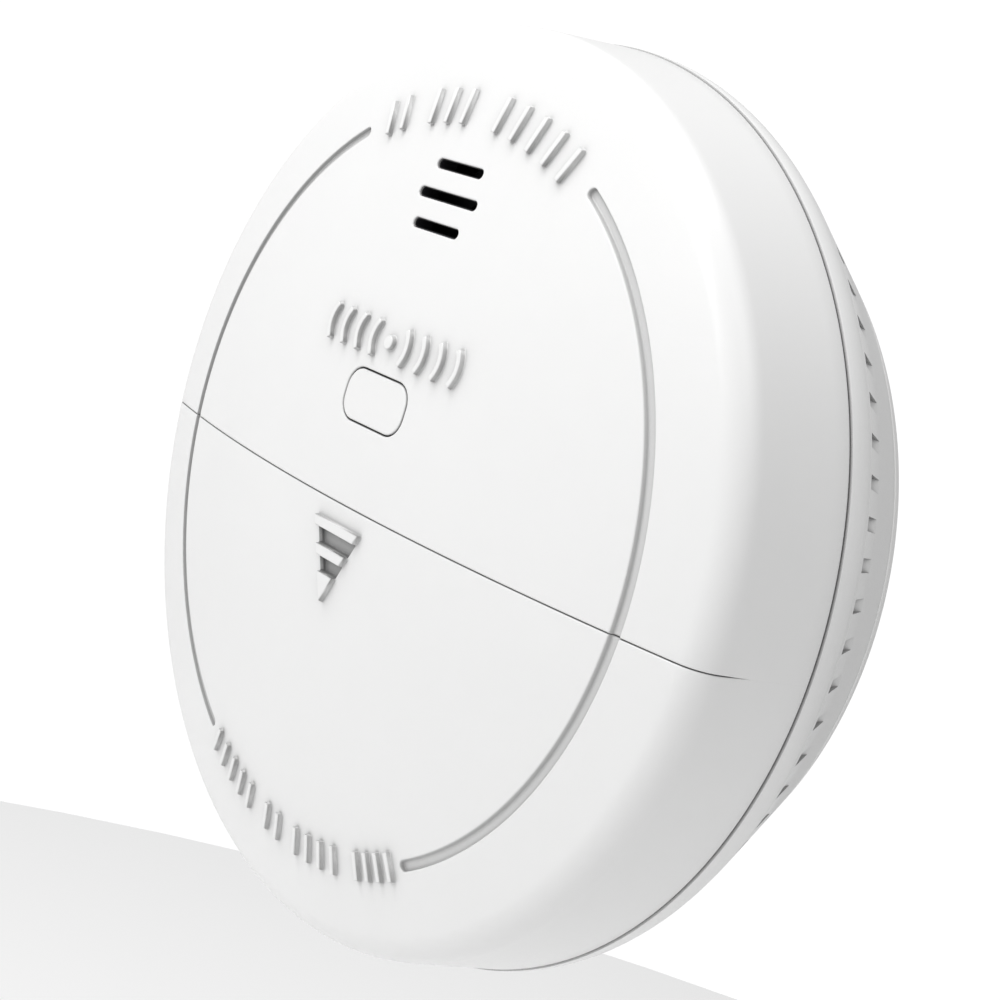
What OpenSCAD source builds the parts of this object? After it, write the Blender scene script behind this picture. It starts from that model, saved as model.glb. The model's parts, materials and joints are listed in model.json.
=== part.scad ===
// Round wall-mounted carbon monoxide detector.
// The parts are drawn lying on their back: x is right, y is up the wall and z is the height
// in front of the wall. stand() then turns them upright, so the wall is the plane y = 0,
// the face looks towards -Y and +Z is up.

/* [Case] */
// Outer radius at the seam between cover and housing
seam_r = 60; // [59.5:0.1:60.5]
// Height of the seam in front of the wall
seam_h = 21.2; // [21:0.1:21.6]
// Open gap at the seam
seam_gap = 0.2; // [0.15:0.05:0.3]
// Height of the middle of the face in front of the wall
face_h = 44.6; // [44:0.2:45.2]
// Fall of the domed face: height lost per square millimetre of radius
dome_k = 0.00225; // [0.0021:0.00005:0.0024]
// Radius where the domed face runs into the rounded shoulder
shoulder_r = 55.8; // [55.4:0.1:56]
// Slope of the side wall
draft = 0.08; // [0.06:0.01:0.09]
// Wall thickness of the mouldings
wall = 2; // [1.8:0.1:2.2]

/* [Face] */
// Radius of the groove ring on the face
groove_r = 47.5; // [47:0.1:48]
// Width of the groove ring
groove_w = 1.6; // [1.2:0.1:2]
// Depth of the groove ring
groove_d = 0.6; // [0.4:0.1:0.8]
// Half angle of each groove arc
groove_half = 60; // [56:1:62]
// Height of the parting line between cover and door
split_y = -3.7; // [-3.9:0.1:-3.5]
// Gap at the parting line
split_gap = 0.2; // [0.15:0.05:0.3]
// Height of the raised marks
relief = 0.7; // [0.5:0.1:0.9]
// Stroke width of the raised marks
stroke = 0.8; // [0.7:0.1:0.9]

/* [Sound slots] */
// Height of the middle sound slot
slot_y = 36; // [35:0.5:37]
// Distance between sound slots
slot_pitch = 3.85; // [3.6:0.05:4]
// Width of a sound slot
slot_w = 1.3; // [1:0.1:1.6]
// Distance between the end centres of the long slot
slot_long = 10.9; // [10:0.1:12]
// Distance between the end centres of the short slots
slot_short = 8.3; // [7.5:0.1:9]

/* [Test button] */
// Height of the button centre
button_y = 9.8; // [9.5:0.1:10.5]
// Button width
button_w = 12.9; // [12.5:0.1:13.3]
// Button height
button_l = 6.5; // [6.1:0.1:6.9]
// Gap around the button
button_gap = 0.2; // [0.15:0.05:0.3]
// Travel of the button
button_travel = 0.5; // [0.3:0.1:0.6]

/* [Vents] */
// Number of vent openings round the rear
vent_n = 80; // [60:1:84]
// Width of a vent opening
vent_w = 1.6; // [1.4:0.1:1.8]
// Turn of the vent ring
vent_phase = 0.9; // [0:0.1:4]

/* [Mounting plate] */
// Distance between the two wall screw slots
screw_pitch = 60; // [58:1:62]
// Length of a wall screw slot
screw_slot = 10; // [8:0.5:11]
// Radius of a wall screw slot's ends
screw_r = 2.2; // [2:0.1:2.4]
// Turn from locked to released
twist = 15; // [12:1:16]

/* [Batteries] */
// Battery diameter
cell_d = 14.5; // [14:0.1:14.5]
// Battery body length
cell_l = 49.2; // [48.8:0.1:49.2]
// Distance between the two batteries
cell_pitch = 16.1; // [15.8:0.1:16.3]

/* [Hidden] */
$fn = 96;

big = 200;
clear = 0.15;

// profile of the domed mouldings
dome_n = 8;
fillet_n = 6;
function dome_h(r) = face_h - dome_k * r * r;
function edge_r(t) = shoulder_r - t;
function edge_a(t) = atan(2 * dome_k * edge_r(t));
function edge_h(t) = dome_h(edge_r(t)) - t;
function fillet_r(t) = (seam_r - t - edge_r(t) - draft * (edge_h(t) - seam_h))
    / (sqrt(1 + draft * draft) - sin(edge_a(t)) - draft * cos(edge_a(t)));
function side_r(t, h) = seam_r - t - draft * (h - seam_h);
function dome_points(t) = concat(
    [for (i = [0:dome_n]) let (r = edge_r(t) * i / dome_n) [r, dome_h(r) - t]],
    [for (i = [1:fillet_n]) let (
        a = 90 - edge_a(t) + (atan(draft) - 90 + edge_a(t)) * i / fillet_n,
        f = fillet_r(t))
        [edge_r(t) + f * (cos(a) - sin(edge_a(t))), edge_h(t) + f * (sin(a) - cos(edge_a(t)))]]);
tight_h = 30.5;
open_h = 33.5;
cover_h = seam_h + seam_gap / 2;
rim_h = seam_h - seam_gap / 2;

// rear section: a cone from the wall up to the rounded band behind the seam
plate_t = 2.4;
floor_h = 2.7;
floor_t = 2;
cone_base_r = 49.28;
cone_slope = 0.5913;
cone_top = 16.9;
cone_wall = 2.3;
vent_wall_r = 54;
function cone_r(h) = cone_base_r + cone_slope * h;
vent_low = 12.5;
vent_depth = 1.5;
vent_top = cone_top - 0.05;
vent_slit_h = 1;
vent_side = 0.3;
band_r = seam_r + 0.2;
band_low_h = 17.7;
band_arc = 6.03;
band_arc_a = 23.45;
band_arc_h = 20.1;
lip_out = seam_r - wall - 1;
lip_in = lip_out - 1.4;
lip_h = 23;

// twist lock
hook_n = 3;
hook_a = 90;
hook_arc = 12;
hook_in = 36.5;
hook_t = 1.8;
hook_lip = 2.1;
hook_h = 6.6;
lip_low = floor_h + floor_t + 0.2;
hook_gap = 0.4;

// arrow head on the door: corners, the heights where it is cut, and the pockets' depth
arrow_top = -6.2;
arrow_tip = -16.2;
arrow_half = 5;
arrow_cut = [-7.5, -9.5, -10.85, -12.7];
pocket_d = 0.8;

// screws
boss_r = 4.2;
boss_at = 45.5;
upper_a = 45;
lower_a = 40;
head_r = 2.7;
head_t = 2;
shank_r = 1.3;
screw_l = 10;
upper_seat = 17;
lower_seat = 12;
tap = 0.05;
pcb_screw_at = [[-18, 5], [18, 5], [19, 39]];
pcb_post_r = 2.6;

// circuit board and what stands on it
pcb_h = 24;
pcb_t = 1.6;
pcb_top = pcb_h + pcb_t;
pcb_r = 47.5;
pcb_low = 0.6;
shelf_t = 1.6;
horn_y = 33.5;
horn_r = 14.5;
sensor_at = [-31, 19];
sensor_r = 7.75;
collar_h = 39.6;
flange_t = 1.2;
stem_end = 33.05;
stem_r = 2.2;
led_x = 5.3;
plug_at = [-38, 5];

// batteries
cell_h = 27;
cell_y = -13.95;
tray_floor = 19.6;
tray_t = 1.4;
tray_x = 31.8;
tray_top = -5;
tray_low = -39;
tray_rim = 31;
rail_h = 27;
rail_t = 1.6;
rail_w = 3;
leg_x = 35.2;
plate_x = 26;
blade = 0.4;
lead_y = -4.28;

slate = [0.2, 0.2, 0.22];
white = [0.93, 0.93, 0.92];
steel = [0.72, 0.73, 0.75];

module stand() {
    rotate([90, 0, 0]) children();
}

module ring(r0, r1, h0, h1) {
    translate([0, 0, h0]) difference() {
        cylinder(r = r1, h = h1 - h0);
        translate([0, 0, -1]) cylinder(r = r0, h = h1 - h0 + 2);
    }
}

module arc_ring(r0, r1, h0, h1, a0, a1) {
    rotate([0, 0, a0]) rotate_extrude(angle = a1 - a0)
        translate([r0, h0]) square([r1 - r0, h1 - h0]);
}

module dome_body(t, low) {
    rotate_extrude() polygon(concat(dome_points(t), [[side_r(t, low), low], [0, low]]));
}

module dome_shell() {
    inner = dome_points(wall);
    n = len(inner);
    rotate_extrude() polygon(concat(dome_points(0),
        [[side_r(0, cover_h), cover_h], [side_r(wall, cover_h), cover_h]],
        [for (i = [1:n]) inner[n - i]]));
}

// everything below the given height of the face, with the gap closing up on the side wall
module below(edge, tight) {
    rotate([90, 0, 90]) translate([0, 0, -big / 2]) linear_extrude(big)
        polygon([[-big, -1], [tight, -1], [tight, tight_h], [edge, open_h], [edge, big], [-big, big]]);
}

module above(edge, tight) {
    rotate([90, 0, 90]) translate([0, 0, -big / 2]) linear_extrude(big)
        polygon([[big, -1], [tight, -1], [tight, tight_h], [edge, open_h], [edge, big], [big, big]]);
}

module slot2d(l, w) {
    translate([-l / 2, -w / 2]) square([l, w]);
    for (s = [-1, 1]) translate([s * l / 2, 0]) circle(w / 2);
}

module rounded2d(w, l, r) {
    translate([-w / 2 + r, -l / 2]) square([w - 2 * r, l]);
    translate([-w / 2, -l / 2 + r]) square([w, l - 2 * r]);
    for (x = [-1, 1], y = [-1, 1]) translate([x * (w / 2 - r), y * (l / 2 - r)]) circle(r);
}

module bar2d(p, q, t) {
    d = q - p;
    translate(p) rotate(atan2(d[1], d[0])) translate([0, -t / 2]) square([norm(d), t]);
    for (c = [p, q]) translate(c) circle(t / 2, $fn = 24);
}

module strip2d(points, t) {
    for (i = [0:len(points) - 2]) bar2d(points[i], points[i + 1], t);
}

module box(x0, x1, y0, y1, z0, z1) {
    translate([x0, y0, z0]) cube([x1 - x0, y1 - y0, z1 - z0]);
}

// face marks: strokes standing on the dome, cut off parallel to it
module raised() {
    intersection() {
        dome_body(-relief, cover_h + 8);
        children();
    }
}

module mark_stroke(x0, y0, x1, y1, h) {
    d = [x1 - x0, y1 - y0];
    translate([x0, y0, h]) rotate([0, 0, atan2(d[1], d[0])])
        translate([-stroke / 2, -stroke / 2, 0]) cube([norm(d) + stroke, stroke, 8]);
}

function ring_marks(n, a0, a1) = [for (i = [0:n - 1]) a0 + (a1 - a0) * i / (n - 1)];

// groups of plain upright bars along the top
module top_marks() {
    for (g = [[2, 113, 109.3], [3, 101.8, 93.6], [5, 85, 66.6]], a = ring_marks(g[0], g[1], g[2]))
        rotate([0, 0, a - 90]) mark_stroke(0, groove_r - 1.9, 0, groove_r + 1.9,
            dome_h(groove_r) - 1.2);
}

// groups of shorter bars along the bottom
module low_marks() {
    for (g = [[5, 244, 257.5], [2, 263.5, 267], [4, 272.5, 283], [4, 289, 297]],
        a = ring_marks(g[0], g[1], g[2]))
        rotate([0, 0, a + 90]) mark_stroke(0, -groove_r - 1.4, 0, -groove_r + 1.4,
            dome_h(groove_r) - 1.2);
}

// a dot between growing pairs of sound arcs
module sound_mark() {
    translate([0, 17.3, dome_h(17.3) - 1.2]) {
        cylinder(r = 0.9, h = 8);
        for (s = [0, 180], i = [1:4])
            rotate([0, 0, s]) translate([3.4 * i - 3.2, 0, 0]) rotate([0, 0, -35])
                rotate_extrude(angle = 70) translate([3.2, 0]) square([stroke, 8]);
    }
}

// the part of a downward arrow head between heights z0 and z1
module arrow_band(z0, z1) {
    w0 = arrow_half * (z0 - arrow_tip) / (arrow_top - arrow_tip);
    w1 = arrow_half * (z1 - arrow_tip) / (arrow_top - arrow_tip);
    polygon([[-w0, z0], [w0, z0], [w1, z1], [-w1, z1]]);
}

module door_arrow() {
    translate([0, 0, face_h - 2]) linear_extrude(8) {
        arrow_band(arrow_top, arrow_cut[0]);
        arrow_band(arrow_cut[1], arrow_cut[2]);
        arrow_band(arrow_cut[3], arrow_tip + 0.01);
    }
}

// shallow pockets between the bars of the arrow
module arrow_pockets() {
    difference() {
        for (i = [0, 2]) translate([0, 0, face_h - 4]) linear_extrude(8)
            arrow_band(arrow_cut[i], arrow_cut[i + 1]);
        dome_body(pocket_d, cover_h);
    }
}

module groove_cut() {
    difference() {
        for (a = [0, 180]) arc_ring(groove_r - groove_w / 2, groove_r + groove_w / 2,
            cover_h + 9, face_h, a - groove_half, a + groove_half);
        dome_body(groove_d, cover_h);
    }
}

module mounting_base() {
    color(white) stand() {
        difference() {
            rotate_extrude() polygon([[0, 0], [cone_r(0), 0], [cone_r(plate_t), plate_t],
                [0, plate_t]]);
            for (s = [-1, 1]) translate([s * screw_pitch / 2, 0, -1]) linear_extrude(plate_t + 2)
                slot2d(screw_slot - 2 * screw_r, 2 * screw_r);
        }
        for (i = [0:hook_n - 1]) {
            a = hook_a + i * 360 / hook_n;
            arc_ring(hook_in, hook_in + hook_t, plate_t - 1, hook_h, a - hook_arc / 2,
                a + hook_arc / 2);
            arc_ring(hook_in + hook_t - 0.5, hook_in + hook_t + hook_lip, lip_low, hook_h,
                a - hook_arc / 2, a + hook_arc / 2);
        }
    }
}

module housing_profile() {
    polygon(concat([[0, floor_h], [cone_r(floor_h), floor_h], [cone_r(cone_top), cone_top],
        [cone_r(cone_top), band_low_h - 0.1]],
        [for (i = [0:6]) let (a = band_arc_a * (i / 6 - 1))
            [band_r - band_arc + band_arc * cos(a), band_arc_h + band_arc * sin(a)]],
        [[band_r, rim_h], [lip_out, rim_h], [lip_out, lip_h], [lip_in, lip_h],
        [lip_in, 20], [57.4, 18.4], [vent_wall_r, cone_top + 0.8],
        [vent_wall_r, 13.2], [cone_r(floor_h + floor_t) - cone_wall, floor_h + floor_t],
        [0, floor_h + floor_t]]));
}

module at_upper() {
    for (a = [upper_a, 180 - upper_a]) rotate([0, 0, a]) translate([boss_at, 0, 0]) children();
}

module at_lower() {
    for (a = [-lower_a, 180 + lower_a]) rotate([0, 0, a]) translate([boss_at, 0, 0]) children();
}

// notch in the cone that deepens towards the band, with a slit through the wall at its top
module vent() {
    side = vent_w / 2 - vent_side;
    rotate([90, 0, 0]) translate([0, 0, -vent_w / 2]) linear_extrude(vent_w)
        polygon([[cone_r(vent_low), vent_low], [seam_r, vent_low], [seam_r, vent_top],
            [cone_r(vent_top) - vent_depth, vent_top]]);
    box(vent_wall_r - 2, seam_r, -side, side, vent_top - vent_slit_h, vent_top);
}

module back_housing() {
    color(white) stand() difference() {
        union() {
            rotate_extrude() housing_profile();
            at_upper() translate([0, 0, floor_h + 1]) cylinder(r = boss_r, h = rim_h - floor_h - 1);
            at_lower() translate([0, 0, floor_h + 1])
                cylinder(r = boss_r, h = tray_floor - 1.9 - floor_h - 1);
        }
        for (i = [0:vent_n - 1]) rotate([0, 0, vent_phase + i * 360 / vent_n]) vent();
        at_upper() {
            translate([0, 0, 0]) cylinder(r = head_r + 0.3, h = upper_seat);
            cylinder(r = shank_r + 0.2, h = big);
        }
        at_lower() {
            translate([0, 0, 0]) cylinder(r = head_r + 0.3, h = lower_seat);
            cylinder(r = shank_r + 0.2, h = big);
        }
        for (i = [0:hook_n - 1]) {
            a = hook_a + i * 360 / hook_n;
            half = hook_arc / 2 + 1.5;
            arc_ring(hook_in - hook_gap, hook_in + hook_t + hook_gap, 0, floor_h + floor_t + 1,
                a - half - twist, a + half);
            arc_ring(hook_in + hook_t, hook_in + hook_t + hook_lip + hook_gap, 0,
                floor_h + floor_t + 1, a - half - twist, a + half - twist);
        }
    }
}

module front_cover() {
    edge = split_y + split_gap / 2;
    color(white) stand() difference() {
        union() {
            difference() {
                dome_shell();
                below(edge, split_y + 0.06);
                groove_cut();
            }
            // shelf that closes the electronics off from the battery bay
            intersection() {
                dome_body(wall / 2, cover_h);
                difference() {
                    box(-big, big, edge, edge + shelf_t, cover_h, big);
                    ring(55.3, 57.3, 0, 23.3);
                }
            }
            // posts, horn collar and button guide, all running up into the dome
            intersection() {
                dome_body(wall / 2, cover_h);
                union() {
                    at_upper() translate([0, 0, cover_h]) cylinder(r = boss_r - 0.8, h = big);
                    for (p = pcb_screw_at) translate([p[0], p[1], pcb_top])
                        cylinder(r = pcb_post_r, h = big);
                    translate([0, horn_y, 0]) ring(horn_r + 0.7, horn_r + 1.9, 34, big);
                    translate([0, button_y, collar_h]) linear_extrude(big)
                        rounded2d(button_w + 4, button_l + 4, 3.5);
                }
            }
            raised() {
                top_marks();
                sound_mark();
            }
        }
        for (i = [-1:1]) translate([0, slot_y + i * slot_pitch, 30]) linear_extrude(big)
            slot2d(i == 0 ? slot_long : slot_short, slot_w);
        translate([0, button_y, 30]) linear_extrude(big)
            rounded2d(button_w + 2 * button_gap, button_l + 2 * button_gap, 2.6 + button_gap);
        at_upper() translate([0, 0, cover_h - 1]) cylinder(r = shank_r + tap, h = 10);
        for (p = pcb_screw_at) translate([p[0], p[1], pcb_top - 1]) cylinder(r = 1.05, h = 9);
        // way through the shelf for the battery leads
        box(plug_at[0] - 3, plug_at[0] + 3, edge - 1, edge + shelf_t + 1, 25, 30);
    }
}

module battery_door() {
    edge = split_y - split_gap / 2;
    color(white) stand() {
        difference() {
            dome_shell();
            above(edge, split_y - 0.06);
            groove_cut();
            arrow_pockets();
        }
        raised() {
            low_marks();
            door_arrow();
        }
        // legs with hooks that run under the rails of the battery tray
        for (s = [-1, 1]) {
            intersection() {
                dome_body(wall / 2, cover_h);
                box(min(s * leg_x, s * (leg_x + 1.6)), max(s * leg_x, s * (leg_x + 1.6)),
                    -35, -7, rail_h - 2.2, big);
            }
            box(min(s * (tray_x + 0.4), s * (leg_x + 0.8)), max(s * (tray_x + 0.4),
                s * (leg_x + 0.8)), -35, -7, rail_h - 2.2, rail_h - 0.3);
        }
    }
}

module test_button() {
    color(white) stand() {
        intersection() {
            dome_body(0, cover_h);
            translate([0, button_y, collar_h - 0.6]) linear_extrude(big)
                rounded2d(button_w, button_l, 2.6);
        }
        translate([0, button_y, collar_h - clear - flange_t]) linear_extrude(flange_t)
            rounded2d(button_w + 2.4, button_l + 2.4, 3.2);
        translate([0, button_y, stem_end]) cylinder(r = stem_r, h = collar_h - stem_end - 1);
    }
}

module switch_body() {
    color(slate) stand() translate([0, button_y, pcb_top]) difference() {
        box(-3.1, 3.1, -3.1, 3.1, 0, 3.6);
        translate([0, 0, 0.5]) cylinder(r = 1.78, h = 5);
    }
}

module switch_plunger() {
    color([0.1, 0.1, 0.1]) stand() translate([0, button_y, pcb_top + 0.5 + button_travel + 0.2])
        cylinder(r = 1.7, h = 33 - pcb_top - 0.5 - button_travel - 0.2);
}

module switch_legs() {
    color(steel) stand() for (x = [-1, 1], y = [-1, 1])
        translate([x * 3.1, button_y + y * 2.25, pcb_top]) {
            box(min(0, x * 0.3), max(0, x * 0.3), -0.35, 0.35, 0, 1.6);
            box(min(0, x * 1.5), max(0, x * 1.5), -0.35, 0.35, 0, 0.3);
        }
}

module circuit_board() {
    color([0.1, 0.35, 0.2]) stand() translate([0, 0, pcb_h]) linear_extrude(pcb_t) difference() {
        circle(pcb_r);
        translate([-big / 2, -big + pcb_low]) square([big, big]);
        at_upper() circle(boss_r);
        for (p = pcb_screw_at) translate(p) circle(1.3);
    }
}

module pcb_screws() {
    color(steel) stand() for (p = pcb_screw_at) translate([p[0], p[1], 0]) difference() {
        union() {
            translate([0, 0, pcb_h - 1.6]) cylinder(r = 2.3, h = 1.6);
            translate([0, 0, pcb_h - 0.5]) cylinder(r = 1, h = 8.5);
        }
        for (a = [0, 90]) rotate([0, 0, a]) box(-1.3, 1.3, -0.25, 0.25, 0, pcb_h - 0.9);
    }
}

module sensor_can() {
    color([0.75, 0.76, 0.78]) stand() translate([sensor_at[0], sensor_at[1], pcb_top + 1]) {
        cylinder(r = sensor_r, h = 1.6);
        cylinder(r = sensor_r - 0.6, h = 9.2);
    }
}

module sensor_cap() {
    color([0.15, 0.15, 0.17]) stand() translate([sensor_at[0], sensor_at[1], pcb_top + 10.2])
        difference() {
            cylinder(r = sensor_r - 1.4, h = 1);
            translate([0, 0, -1]) cylinder(r = 1.2, h = 3);
            for (i = [0:5]) rotate([0, 0, i * 60]) translate([3.9, 0, -1])
                cylinder(r = 0.8, h = 3);
        }
}

module sensor_pins() {
    color([0.8, 0.68, 0.35]) stand() for (i = [0:2])
        translate([sensor_at[0] + 4.5 * cos(90 + i * 120), sensor_at[1] + 4.5 * sin(90 + i * 120),
            pcb_top]) cylinder(r = 0.5, h = 1);
}

module horn_body() {
    color([0.12, 0.12, 0.13]) stand() translate([0, horn_y, pcb_top]) difference() {
        cylinder(r = horn_r, h = 9.2);
        translate([0, 0, 4.4]) cylinder(r = horn_r - 1.1, h = 8);
        translate([0, 0, 1.5]) cylinder(r = horn_r - 2.4, h = 8);
        for (s = [-1, 1]) translate([s * 6, 0, -1]) cylinder(r = 0.7, h = 4);
    }
}

module horn_lid() {
    color([0.12, 0.12, 0.13]) stand() translate([0, horn_y, pcb_top + 9.2]) difference() {
        cylinder(r = horn_r, h = 1.2);
        translate([0, 0, -1]) cylinder(r = 3, h = 4);
        for (i = [0:5]) rotate([0, 0, i * 60]) translate([8, 0, -1]) cylinder(r = 1.1, h = 4);
    }
}

module piezo_disc() {
    color([0.82, 0.66, 0.3]) stand() translate([0, horn_y, pcb_top + 4.4])
        cylinder(r = horn_r - 1.2, h = 0.3);
}

module piezo_ceramic() {
    color([0.9, 0.88, 0.8]) stand() translate([0, horn_y, pcb_top + 4.7])
        cylinder(r = 9.5, h = 0.3);
}

module horn_contacts() {
    color(steel) stand() for (s = [-1, 1]) translate([s * 6, horn_y, pcb_top]) {
        cylinder(r = 0.45, h = 4.4);
    }
}

module tray_cell(y, side) {
    // stop behind the plus plate
    box(min(side * (plate_x + 0.6), side * (tray_x - 1)), max(side * (plate_x + 0.6),
        side * (tray_x - 1)), y - 5, y + 5, tray_floor - 1, tray_rim);
    // ribs that carry the battery
    for (x = [-16, 16]) difference() {
        box(x - 0.8, x + 0.8, y - 6, y + 6, tray_floor - 1, tray_floor + 3);
        translate([x - 2, y, cell_h]) rotate([0, 90, 0]) cylinder(r = cell_d / 2 + 0.1, h = 4);
    }
}

module battery_tray() {
    color([0.85, 0.85, 0.84]) stand() difference() {
        union() {
            box(-tray_x, tray_x, tray_low, tray_top, tray_floor - 1.6, tray_floor);
            difference() {
                box(-tray_x, tray_x, tray_low, tray_top, tray_floor - 1, tray_rim);
                box(-tray_x + tray_t, tray_x - tray_t, tray_low + tray_t, tray_top - tray_t,
                    tray_floor, big);
            }
            box(-24, 24, cell_y - cell_pitch / 2 - 0.5, cell_y - cell_pitch / 2 + 0.5,
                tray_floor - 1, 24);
            tray_cell(cell_y, 1);
            tray_cell(cell_y - cell_pitch, -1);
            for (s = [-1, 1]) box(min(s * (tray_x - 0.5), s * (tray_x + rail_w)),
                max(s * (tray_x - 0.5), s * (tray_x + rail_w)), -36.5, -6, rail_h,
                rail_h + rail_t);
            at_lower() translate([0, 0, tray_floor - 1.6]) cylinder(r = boss_r - 0.4, h = 5.5);
        }
        at_lower() translate([0, 0, 0]) cylinder(r = shank_r + tap, h = 22.5);
        // notch for the battery leads
        box(-tray_x - 1, -tray_x + 5, tray_top - 2, tray_top + 1, 25, big);
    }
}

module cell(y, side) {
    translate([0, y, cell_h]) rotate([0, side * 90, 0]) {
        translate([0, 0, -cell_l / 2]) cylinder(r = cell_d / 2, h = cell_l);
        translate([0, 0, cell_l / 2 - 0.2]) cylinder(r = 2.75, h = 1.5);
    }
}

module battery_upper() {
    color([0.2, 0.3, 0.4]) stand() cell(cell_y, 1);
}

module battery_lower() {
    color([0.2, 0.3, 0.4]) stand() cell(cell_y - cell_pitch, -1);
}

module battery_springs() {
    back = tray_x - tray_t - blade / 2 - 0.05;
    tip = cell_l / 2 + blade / 2 + 0.05;
    color(steel) stand() for (c = [[cell_y, -1], [cell_y - cell_pitch, 1]])
        translate([0, c[0] + 3.5, 0]) rotate([90, 0, 0]) linear_extrude(7)
            strip2d([[c[1] * back, 20.5], [c[1] * back, 32], [c[1] * tip, 27],
                [c[1] * (back - 1.5), 21.5]], blade);
}

// plus plate with a foot that runs along the tray floor from y1 to y2
module plus_plate(y, side, y1, y2) {
    low = tray_floor + 0.05;
    box(min(side * (plate_x + 0.1), side * (plate_x + 0.5)), max(side * (plate_x + 0.1),
        side * (plate_x + 0.5)), min(y - 5, y1), max(y + 5, y1), low, 32);
    box(min(side * (plate_x + 0.1), side * (plate_x + 3.2)), max(side * (plate_x + 0.1),
        side * (plate_x + 3.2)), min(y1, y2), max(y1, y2), low, low + blade);
}

module battery_plates() {
    lower_y = cell_y - cell_pitch;
    color(steel) stand() {
        plus_plate(lower_y, -1, lower_y + 5.2, -7.2);
        plus_plate(cell_y, 1, cell_y - 5.2, lower_y - 3);
    }
}

module lead(points) {
    r = 0.55;
    for (i = [0:len(points) - 2]) {
        d = points[i + 1] - points[i];
        translate(points[i]) rotate([0, 0, atan2(d[1], d[0])])
            rotate([0, acos(d[2] / norm(d)), 0]) cylinder(r = r, h = norm(d));
        translate(points[i]) sphere(r = r);
    }
}

module lead_red() {
    x = plug_at[0] - 1.2;
    color([0.7, 0.1, 0.08]) stand() lead([[x, plug_at[1] - 2.76, 28.9], [x, lead_y, 28.9],
        [-27.9, lead_y, 28.9], [-27.9, -7.9, 28.9], [-27.9, -7.9, tray_floor + 0.5]]);
}

module lead_black() {
    x = plug_at[0] + 1.2;
    color([0.08, 0.08, 0.08]) stand() lead([[x, plug_at[1] - 2.76, 26.9], [x, lead_y, 26.9],
        [-29.4, lead_y, 26.9], [-29.4, -10.4, 26.9]]);
}

module wire_plug() {
    color([0.9, 0.89, 0.85]) stand() box(plug_at[0] - 3, plug_at[0] + 3, plug_at[1] - 2.2,
        plug_at[1] + 2.2, pcb_top, pcb_top + 4.4);
}

module status_leds() {
    color([0.6, 0.85, 0.6]) stand() for (s = [-1, 1]) translate([s * led_x, button_y, 31]) {
        cylinder(r = 1.9, h = 0.9);
        cylinder(r = 1.5, h = 3.6);
        translate([0, 0, 3.6]) sphere(r = 1.5);
    }
}

module led_leads() {
    color(steel) stand() for (s = [-1, 1], y = [-1.27, 1.27])
        box(s * led_x - 0.25, s * led_x + 0.25, button_y + y - 0.25, button_y + y + 0.25,
            pcb_top, 31);
}

module mcu_body() {
    color([0.08, 0.08, 0.09]) stand() box(23, 33, 7, 11, pcb_top + 0.1, pcb_top + 1.7);
}

module mcu_leads() {
    color(steel) stand() for (i = [0:7], s = [-1, 1]) translate([23.55 + i * 1.27, 9, pcb_top]) {
        box(-0.2, 0.2, min(s * 2, s * 2.4), max(s * 2, s * 2.4), 0, 0.9);
        box(-0.2, 0.2, min(s * 2.3, s * 3), max(s * 2.3, s * 3), 0, 0.2);
    }
}

module electrolytic_caps() {
    color([0.12, 0.14, 0.22]) stand() for (p = [[36.5, 22], [38.5, 14]])
        translate([p[0], p[1], pcb_top]) cylinder(r = 3.15, h = 8);
}

module boost_coil() {
    color([0.3, 0.28, 0.27]) stand() translate([27, 22, pcb_top]) {
        cylinder(r = 4.5, h = 0.9);
        cylinder(r = 3.4, h = 7);
        translate([0, 0, 6.1]) cylinder(r = 4.5, h = 0.9);
    }
}

module chip_parts() {
    color([0.75, 0.7, 0.6]) stand() {
        for (i = [0:3]) box(-33.5 + i * 2.6, -31.9 + i * 2.6, 3, 5.4, pcb_top, pcb_top + 0.6);
        for (i = [0:3]) box(10 + i * 2.6, 11.6 + i * 2.6, 12, 14.4, pcb_top, pcb_top + 0.6);
        for (i = [0:3]) box(-13, -10.6, 8 + i * 2.6, 9.6 + i * 2.6, pcb_top, pcb_top + 0.8);
    }
}

module housing_screw(seat) {
    difference() {
        union() {
            translate([0, 0, seat - head_t]) cylinder(r = head_r, h = head_t);
            translate([0, 0, seat - 0.5]) cylinder(r = shank_r, h = screw_l + 0.5);
        }
        for (a = [0, 90]) rotate([0, 0, a]) box(-1.7, 1.7, -0.35, 0.35, 0, seat - head_t + 1);
    }
}

module housing_screws() {
    color(steel) stand() {
        at_upper() housing_screw(upper_seat);
        at_lower() housing_screw(lower_seat);
    }
}

mounting_base();
back_housing();
front_cover();
battery_door();
test_button();
switch_body();
switch_plunger();
switch_legs();
circuit_board();
pcb_screws();
sensor_can();
sensor_cap();
sensor_pins();
horn_body();
horn_lid();
piezo_disc();
piezo_ceramic();
horn_contacts();
battery_tray();
battery_upper();
battery_lower();
battery_springs();
battery_plates();
lead_red();
lead_black();
wire_plug();
status_leds();
led_leads();
mcu_body();
mcu_leads();
electrolytic_caps();
boost_coil();
chip_parts();
housing_screws();
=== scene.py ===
import json
import math

import bmesh
import bpy
import numpy as np
from mathutils import Matrix, Vector
from mathutils.geometry import delaunay_2d_cdt


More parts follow.
